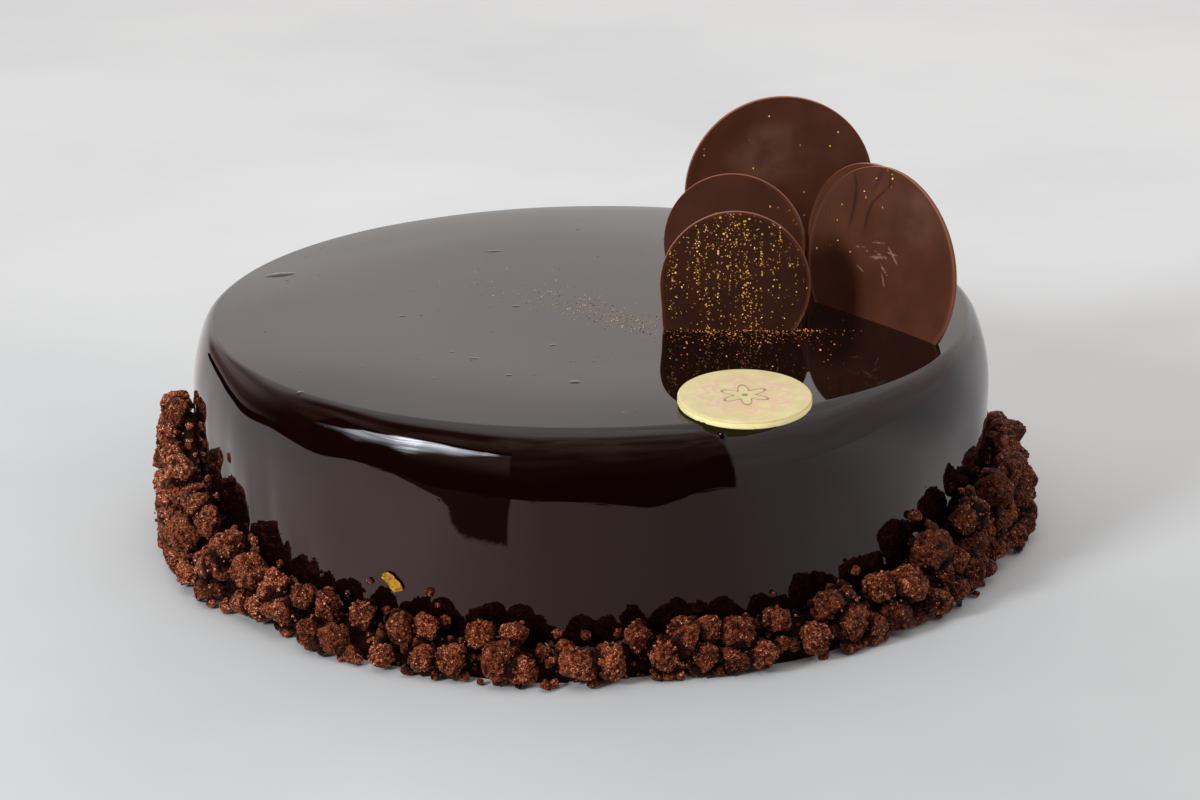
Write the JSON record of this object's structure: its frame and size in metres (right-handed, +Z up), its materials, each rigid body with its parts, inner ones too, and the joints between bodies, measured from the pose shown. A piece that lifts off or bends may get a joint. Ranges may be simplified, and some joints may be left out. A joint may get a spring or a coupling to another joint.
{
  "type": "semifreddo cake",
  "caption": "Round mirror-glazed chocolate semifreddo cake with upright chocolate discs, a small ivory plaque on its edge and cocoa crumble round its foot.",
  "frame": {"origin": "centre of the cake's flat underside, on the cake's own axis", "axes": "+Z up out of the cake's top, -Y towards the front with the plaque, +X to the right where the chocolate discs stand"},
  "size_m": [0.2469, 0.2477, 0.109],
  "materials": {
    "glaze": "mirror-smooth cocoa glaze, almost black-brown, edible, set soft",
    "dark_chocolate": "satin tempered dark chocolate, dusted with fine gold grains on some faces",
    "ivory_chocolate": "satin white chocolate, pale ivory yellow",
    "crumble": "dry rough baked cocoa crumble"
  },
  "bodies": {
    "root": {"cake": "glaze", "disc_left_front": "dark_chocolate", "disc_left_rear": "dark_chocolate", "disc_back": "dark_chocolate", "disc_right_front": "dark_chocolate", "disc_right_rear": "dark_chocolate", "plaque": "ivory_chocolate", "crumb_ring": "crumble"}
  },
  "joints": []
}
